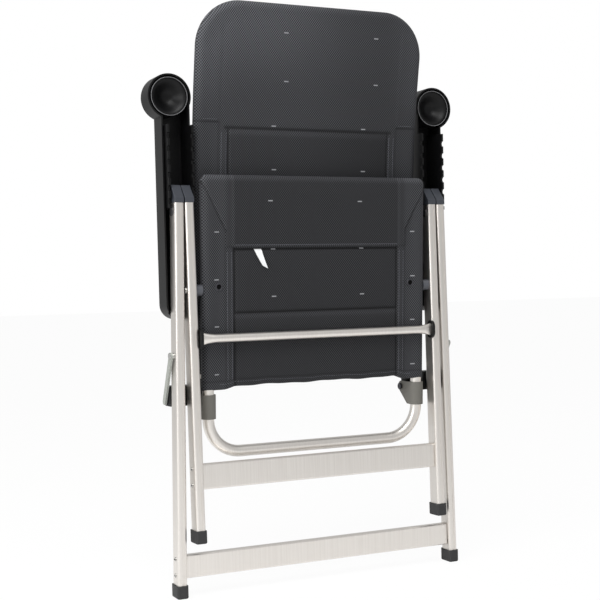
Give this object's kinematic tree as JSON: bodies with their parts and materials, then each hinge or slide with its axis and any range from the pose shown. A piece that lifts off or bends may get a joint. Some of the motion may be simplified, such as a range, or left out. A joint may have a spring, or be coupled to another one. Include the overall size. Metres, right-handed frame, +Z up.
{
  "type": "folding camp chair",
  "caption": "High-back folding camp chair, folded upright, with flat tube legs, padded fabric slings and hinged armrests.",
  "frame": {"origin": "on the ground under the middle of the folded chair's bounding box", "axes": "+Z up, -Y towards the chair's front, +X to the right as seen from in front; left and right in the node names are as seen from in front"},
  "size_m": [0.645, 0.0918, 1.095],
  "materials": {
    "anodised_aluminium": "satin anodised",
    "slate_plastic": "fine moulded texture",
    "foot_rubber": "matt",
    "black_plastic": "fine moulded texture",
    "grey_plastic": "matt",
    "bracket_plastic": "matt",
    "bright_steel": "zinc plated",
    "dark_steel": "dark plated",
    "link_paint": "grey satin",
    "sling_fabric": "padded woven polyester with mesh edges",
    "tag_fabric": "woven label cloth",
    "black_eyelet": "black plated"
  },
  "bodies": {
    "rear_legs": {"rear_leg_left": "anodised_aluminium", "rear_leg_right": "anodised_aluminium", "rear_cap_left": "slate_plastic", "rear_cap_right": "slate_plastic", "rear_foot_left": "foot_rubber", "rear_foot_right": "foot_rubber", "rear_lower_bar": "anodised_aluminium", "rear_bar_screws": "bright_steel", "apex_pin_left": "bright_steel", "apex_pin_right": "bright_steel", "link_rivet_left": "bright_steel", "link_rivet_right": "bright_steel"},
    "front_legs": {"front_leg_left": "anodised_aluminium", "front_leg_right": "anodised_aluminium", "front_cap_left": "slate_plastic", "front_cap_right": "slate_plastic", "front_foot_left": "foot_rubber", "front_foot_right": "foot_rubber", "front_middle_bar": "anodised_aluminium", "front_bar_screws": "bright_steel", "front_round_bar": "anodised_aluminium", "round_bar_bushing_left": "black_plastic", "round_bar_bushing_right": "black_plastic", "seat_bolt_left": "bright_steel", "seat_bolt_right": "bright_steel"},
    "seat": {"seat_frame": "anodised_aluminium", "seat_sling": "sling_fabric", "seat_spacer_left": "grey_plastic", "seat_spacer_right": "grey_plastic", "seat_hinge_left": "bracket_plastic", "seat_hinge_right": "bracket_plastic", "seat_eyelets": "black_eyelet", "seat_care_tag": "tag_fabric"},
    "hinge_shafts": {"hinge_shaft_left": "dark_steel", "hinge_shaft_right": "dark_steel", "hinge_collar_left": "dark_steel", "hinge_collar_right": "dark_steel", "hinge_block_left": "black_plastic", "hinge_block_right": "black_plastic"},
    "backrest": {"back_frame": "anodised_aluminium", "back_sling": "sling_fabric", "back_tube_end_left": "black_plastic", "back_tube_end_right": "black_plastic"},
    "arm_pin_left": {"arm_pin_left": "bright_steel"},
    "arm_pin_right": {"arm_pin_right": "bright_steel"},
    "armrest_left": {"armrest_left": "black_plastic"},
    "armrest_right": {"armrest_right": "black_plastic"},
    "link_left": {"link_left": "link_paint"},
    "link_right": {"link_right": "link_paint"}
  },
  "joints": [
    {"name": "fold", "type": "hinge", "parent": "rear_legs", "child": "front_legs", "pos_m": [0, -0.009, 0.71], "axis": [-1, 0, 0], "range_deg": [0, 44]},
    {"name": "seat_hinge", "type": "hinge", "parent": "front_legs", "child": "seat", "pos_m": [0, -0.0124, 0.565], "axis": [1, 0, 0], "range_deg": [0, 91.5]},
    {"name": "shaft_turn", "type": "hinge", "parent": "seat", "child": "hinge_shafts", "pos_m": [0, 0.032, 0.36], "axis": [-1, 0, 0], "range_deg": [0, 86.5]},
    {"name": "recline", "type": "hinge", "parent": "hinge_shafts", "child": "backrest", "pos_m": [0, 0.032, 0.36], "axis": [-1, 0, 0], "range_deg": [0, 40]},
    {"name": "arm_pin_left", "type": "hinge", "parent": "backrest", "child": "arm_pin_left", "pos_m": [0, 0.0258, 0.522], "axis": [1, 0, 0], "range_deg": [0, 94.5]},
    {"name": "armrest_left", "type": "hinge", "parent": "arm_pin_left", "child": "armrest_left", "pos_m": [0, 0.0258, 0.522], "axis": [1, 0, 0], "range_deg": [0, 32]},
    {"name": "link_left", "type": "hinge", "parent": "rear_legs", "child": "link_left", "pos_m": [0, -0.009, 0.446], "axis": [1, 0, 0], "range_deg": [0, 100.5]},
    {"name": "arm_pin_right", "type": "hinge", "parent": "backrest", "child": "arm_pin_right", "pos_m": [0, 0.0258, 0.522], "axis": [1, 0, 0], "range_deg": [0, 94.5]},
    {"name": "armrest_right", "type": "hinge", "parent": "arm_pin_right", "child": "armrest_right", "pos_m": [0, 0.0258, 0.522], "axis": [1, 0, 0], "range_deg": [0, 32]},
    {"name": "link_right", "type": "hinge", "parent": "rear_legs", "child": "link_right", "pos_m": [0, -0.009, 0.446], "axis": [1, 0, 0], "range_deg": [0, 100.5]}
  ],
  "couplings": [
    {"joint": "seat_hinge", "follows": "fold", "ratio": 2.0735},
    {"joint": "shaft_turn", "follows": "fold", "ratio": 1.957},
    {"joint": "arm_pin_left", "follows": "fold", "ratio": 2.1394},
    {"joint": "armrest_left", "follows": "recline", "ratio": 0.7956},
    {"joint": "link_left", "follows": "fold", "ratio": 2.2751},
    {"joint": "arm_pin_right", "follows": "fold", "ratio": 2.1394},
    {"joint": "armrest_right", "follows": "recline", "ratio": 0.7956},
    {"joint": "link_right", "follows": "fold", "ratio": 2.2751}
  ]
}
